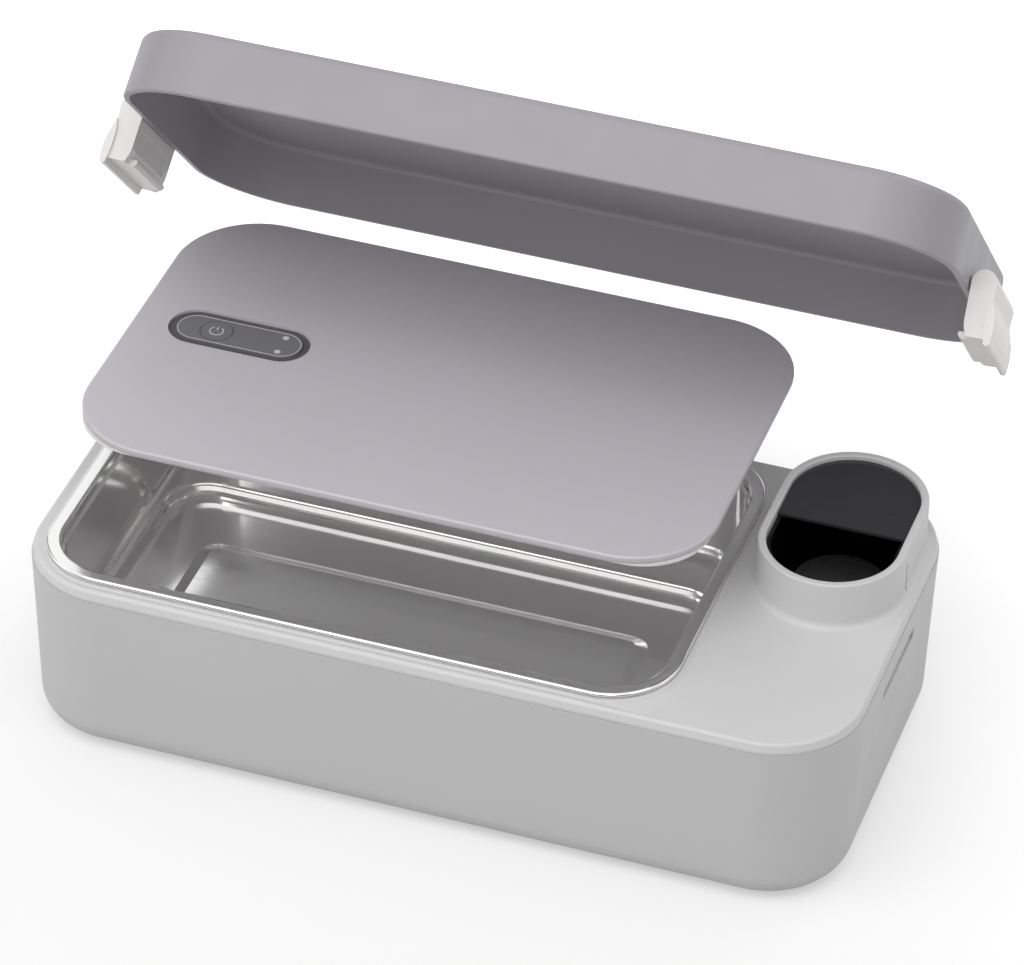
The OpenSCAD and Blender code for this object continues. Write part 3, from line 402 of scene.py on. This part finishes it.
def make_world():
    """White for the camera, soft light all round, and light and dark bands for metal to mirror."""
    world = bpy.data.worlds.new("studio")
    bpy.context.scene.world = world
    world.use_nodes = True
    tree = world.node_tree
    tree.nodes.clear()
    place = tree.nodes.new("ShaderNodeTexCoord")
    split = tree.nodes.new("ShaderNodeSeparateXYZ")
    tree.links.new(place.outputs["Generated"], split.inputs["Vector"])
    ramp = tree.nodes.new("ShaderNodeValToRGB")
    points = ramp.color_ramp.elements
    while len(points) < len(MIRRORED):
        points.new(0.5)
    for point, (position, value) in zip(points, MIRRORED):
        point.position = position
        point.color = (value, value, value, 1)
    height = tree.nodes.new("ShaderNodeMapRange")
    height.inputs["From Min"].default_value = -1
    tree.links.new(split.outputs["Z"], height.inputs["Value"])
    tree.links.new(height.outputs["Result"], ramp.inputs["Fac"])
    mirrored = tree.nodes.new("ShaderNodeBackground")
    tree.links.new(ramp.outputs["Color"], mirrored.inputs["Color"])
    ambient = tree.nodes.new("ShaderNodeBackground")
    ambient.inputs["Color"].default_value = (1, 1, 1, 1)
    ambient.inputs["Strength"].default_value = AMBIENT
    white = tree.nodes.new("ShaderNodeBackground")
    white.inputs["Color"].default_value = (1, 1, 1, 1)
    path = tree.nodes.new("ShaderNodeLightPath")
    glossy = tree.nodes.new("ShaderNodeMixShader")
    tree.links.new(path.outputs["Is Glossy Ray"], glossy.inputs["Fac"])
    tree.links.new(ambient.outputs[0], glossy.inputs[1])
    tree.links.new(mirrored.outputs[0], glossy.inputs[2])
    seen = tree.nodes.new("ShaderNodeMath")
    seen.operation = "MAXIMUM"
    tree.links.new(path.outputs["Is Camera Ray"], seen.inputs[0])
    tree.links.new(path.outputs["Is Transmission Ray"], seen.inputs[1])
    final = tree.nodes.new("ShaderNodeMixShader")
    tree.links.new(seen.outputs[0], final.inputs["Fac"])
    tree.links.new(glossy.outputs[0], final.inputs[1])
    tree.links.new(white.outputs[0], final.inputs[2])
    out = tree.nodes.new("ShaderNodeOutputWorld")
    tree.links.new(final.outputs[0], out.inputs["Surface"])


def make_floor():
    """A pale floor that keeps a soft shadow and reads as white round it."""
    bm = bmesh.new()
    bmesh.ops.create_grid(bm, x_segments=1, y_segments=1, size=FLOOR_SIDE / 2)
    mesh = bpy.data.meshes.new("floor")
    bm.to_mesh(mesh)
    bm.free()
    floor = bpy.data.objects.new("floor", mesh)
    bpy.context.scene.collection.objects.link(floor)
    material = bpy.data.materials.new("pale_floor")
    material.use_nodes = True
    tree = material.node_tree
    tree.nodes.clear()
    paper = tree.nodes.new("ShaderNodeBsdfDiffuse")
    paper.inputs["Color"].default_value = PAPER_GREY
    glow = tree.nodes.new("ShaderNodeEmission")
    place = tree.nodes.new("ShaderNodeTexCoord")
    far = tree.nodes.new("ShaderNodeVectorMath")
    far.operation = "LENGTH"
    ahead = tree.nodes.new("ShaderNodeMapping")
    ahead.inputs["Location"].default_value = (0, GLOW_AHEAD, 0)
    tree.links.new(place.outputs["Object"], ahead.inputs["Vector"])
    tree.links.new(ahead.outputs["Vector"], far.inputs[0])
    fade = tree.nodes.new("ShaderNodeMapRange")
    fade.interpolation_type = "SMOOTHSTEP"
    fade.inputs["From Min"].default_value = GLOW_FROM
    fade.inputs["From Max"].default_value = GLOW_TO
    fade.inputs["To Min"].default_value = GLOW_NEAR
    fade.inputs["To Max"].default_value = GLOW_FAR
    tree.links.new(far.outputs["Value"], fade.inputs["Value"])
    tree.links.new(fade.outputs["Result"], glow.inputs["Strength"])
    path = tree.nodes.new("ShaderNodeLightPath")
    seen = tree.nodes.new("ShaderNodeMath")
    seen.operation = "MAXIMUM"
    mirrored = tree.nodes.new("ShaderNodeMath")
    mirrored.operation = "MULTIPLY"
    mirrored.inputs[1].default_value = GLOW_MIRRORED
    tree.links.new(path.outputs["Is Glossy Ray"], mirrored.inputs[0])
    tree.links.new(path.outputs["Is Camera Ray"], seen.inputs[0])
    tree.links.new(mirrored.outputs[0], seen.inputs[1])
    dark = tree.nodes.new("ShaderNodeEmission")
    dark.inputs["Strength"].default_value = 0
    pick = tree.nodes.new("ShaderNodeMixShader")
    tree.links.new(seen.outputs[0], pick.inputs["Fac"])
    tree.links.new(dark.outputs[0], pick.inputs[1])
    tree.links.new(glow.outputs[0], pick.inputs[2])
    both = tree.nodes.new("ShaderNodeAddShader")
    tree.links.new(paper.outputs[0], both.inputs[0])
    tree.links.new(pick.outputs[0], both.inputs[1])
    out = tree.nodes.new("ShaderNodeOutputMaterial")
    tree.links.new(both.outputs[0], out.inputs["Surface"])
    mesh.materials.append(material)


def make_lights():
    """Five softboxes: the key light from above, fills from the sides, the back and the front."""
    area_light("top_softbox", (-0.15, -0.6, 1.5), (0, 0, 0.05), (1.3, 1.0), 8.0)
    area_light("left_softbox", (-1.3, -0.8, 0.7), (0, 0, 0.06), (0.8, 0.8), 3.2)
    area_light("right_softbox", (1.0, -0.25, 1.3), (0.05, 0.02, 0.1), (0.5, 0.8), 0.9)
    area_light("back_softbox", (0.5, 1.3, 1.1), (0, 0, 0.08), (1.2, 0.5), 2.6)
    area_light("front_softbox", (-0.35, -1.35, 0.62), (0, 0.05, 0.08), (1.0, 0.3), 0.9)


def make_camera():
    """The photograph's camera; its roll turns the picture and its shift is a move of the camera."""
    a, e, r = (math.radians(v) for v in (AZIMUTH, ELEVATION, ROLL))
    back = Vector((math.sin(a) * math.cos(e), -math.cos(a) * math.cos(e), math.sin(e)))
    level = Vector((math.cos(a), math.sin(a), 0))
    upright = back.cross(level)
    right = level * math.cos(r) + upright * math.sin(r)
    up = upright * math.cos(r) - level * math.sin(r)
    data = bpy.data.cameras.new("camera")
    data.lens = LENS
    data.sensor_width = SENSOR
    data.clip_end = CLIP_END
    camera = bpy.data.objects.new("camera", data)
    turn = Matrix((right, up, back)).transposed().to_4x4()
    place = Matrix.Translation(back * DISTANCE + right * SIDE_SHIFT + up * RISE)
    camera.matrix_world = place @ turn
    bpy.context.scene.collection.objects.link(camera)
    bpy.context.scene.camera = camera


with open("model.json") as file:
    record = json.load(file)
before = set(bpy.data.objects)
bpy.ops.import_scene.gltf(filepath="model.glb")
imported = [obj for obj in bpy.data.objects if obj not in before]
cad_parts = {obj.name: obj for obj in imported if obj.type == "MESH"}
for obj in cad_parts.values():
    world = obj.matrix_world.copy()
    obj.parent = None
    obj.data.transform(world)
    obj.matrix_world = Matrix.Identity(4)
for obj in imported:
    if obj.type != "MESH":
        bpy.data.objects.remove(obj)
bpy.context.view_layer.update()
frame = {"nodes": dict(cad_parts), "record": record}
make_camera()
materials = make_materials()
dress_nodes(materials)
dress_plate()
power_mark(materials)
face_highlight_bead(materials)
make_world()
make_floor()
make_lights()
bpy.context.scene.view_settings.view_transform = "Standard"
